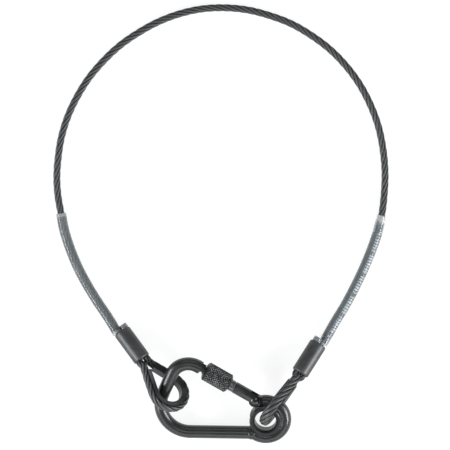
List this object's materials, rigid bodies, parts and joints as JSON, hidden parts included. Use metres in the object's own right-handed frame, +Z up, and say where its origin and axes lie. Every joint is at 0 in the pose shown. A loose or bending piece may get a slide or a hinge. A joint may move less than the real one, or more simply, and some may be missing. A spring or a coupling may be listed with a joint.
{
  "type": "wire rope safety cable",
  "caption": "Black wire rope safety cable with ferruled thimble eyes and clear end sleeves, closed into a ring by a snap hook with a spring gate and a knurled screw nut.",
  "frame": {"origin": "on the table, below the middle of the end fittings: the hook, eyes, ferrules and sleeves", "axes": "+Z up off the table, +Y from the hook towards the top of the rope's ring, +X to the hook's eye"},
  "size_m": [0.2011, 0.2629, 0.0254],
  "materials": {
    "rope_wire": "black coated steel strands, satin",
    "thimble_steel": "black satin",
    "ferrule_metal": "black anodised, pressed",
    "clear_sleeve": "clear, slightly milky",
    "label_film": "grey film, bare",
    "hook_steel": "black, semi-gloss",
    "bush_steel": "black, semi-gloss",
    "gate_steel": "black, worn bright on the thread",
    "bright_steel": "bare",
    "nut_steel": "black, knurled"
  },
  "bodies": {
    "rope": {"wire_rope": "rope_wire", "left_rope_eye": "rope_wire", "right_rope_eye": "rope_wire", "left_thimble": "thimble_steel", "right_thimble": "thimble_steel", "left_ferrule": "ferrule_metal", "right_ferrule": "ferrule_metal", "left_clear_tube": "clear_sleeve", "right_clear_tube": "clear_sleeve", "marking_label": "label_film"},
    "hook": {"hook_body": "hook_steel", "eye_ring": "bush_steel"},
    "gate": {"gate": "gate_steel", "gate_rivet": "bright_steel", "latch_pin": "bright_steel", "gate_spring": "bright_steel"},
    "plunger": {"gate_plunger": "bright_steel"},
    "nut": {"lock_nut": "nut_steel"}
  },
  "joints": [
    {"name": "hook_tilt", "type": "hinge", "parent": "rope", "child": "hook", "pos_m": [-0.02168, -0.06163, 0.0039], "axis": [0.9848, -0.1736, 0], "range_deg": [0, 4]},
    {"name": "gate_hinge", "type": "hinge", "parent": "hook", "child": "gate", "pos_m": [0.02037, -0.04173, 0.01264], "axis": [-0.0537, -0.3043, 0.9511], "range_deg": [0, 22], "stiffness_Nm_per_rad": 0.05, "springref_deg": -17.19},
    {"name": "plunger_slide", "type": "slide", "parent": "gate", "child": "plunger", "axis": [-0.8602, 0.4978, 0.1107], "range_m": [0, 0.0006], "deforming": ["gate_spring"]},
    {"name": "nut_travel", "type": "slide", "parent": "gate", "child": "nut", "axis": [-0.8602, 0.4978, 0.1107], "range_m": [-0.0033, 0.003]}
  ],
  "couplings": [
    {"joint": "plunger_slide", "follows": "gate_hinge", "m_per_rad": 0.00125}
  ]
}
